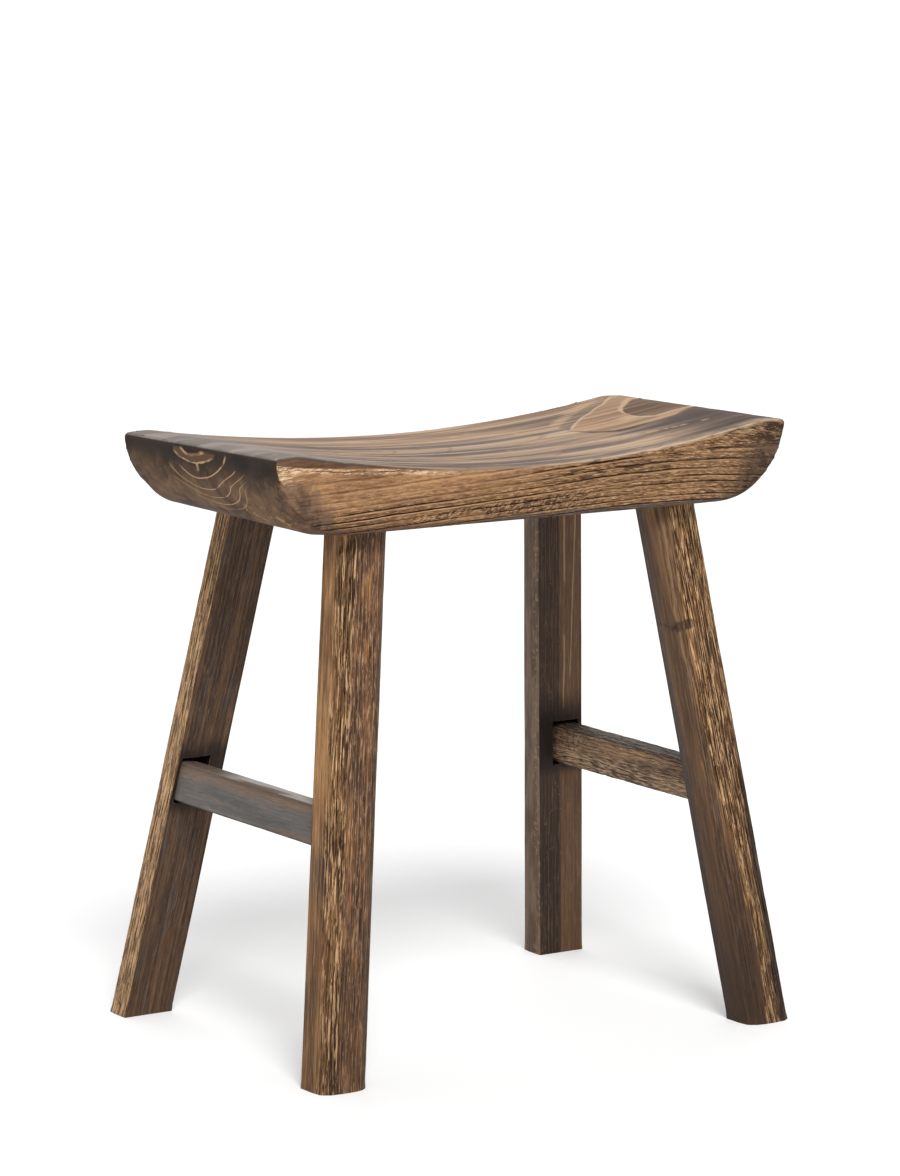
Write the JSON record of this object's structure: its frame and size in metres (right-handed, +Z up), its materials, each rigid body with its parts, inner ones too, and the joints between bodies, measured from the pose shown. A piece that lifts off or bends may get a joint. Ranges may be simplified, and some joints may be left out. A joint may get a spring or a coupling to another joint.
{
  "type": "saddle stool",
  "caption": "Low wooden stool with a thick dished seat, boat-shaped ends and legs splayed both ways, tied by a stretcher at each end.",
  "frame": {"origin": "on the floor, under the middle of the stool", "axes": "+Z up, +X along the seat's length to the right, -Y towards the front"},
  "size_m": [0.4558, 0.297, 0.4512],
  "materials": {
    "seat_wood": "brushed, walnut-stained and waxed",
    "leg_wood": "brushed, walnut-stained",
    "stretcher_wood": "stained, worn grey",
    "wedge_wood": "bare, split"
  },
  "bodies": {
    "root": {"seat": "seat_wood", "stretcher_left": "stretcher_wood", "leg_front_left": "leg_wood", "wedge_front_left": "wedge_wood", "leg_back_left": "leg_wood", "wedge_back_left": "wedge_wood", "stretcher_right": "stretcher_wood", "leg_front_right": "leg_wood", "wedge_front_right": "wedge_wood", "leg_back_right": "leg_wood", "wedge_back_right": "wedge_wood"}
  },
  "joints": []
}
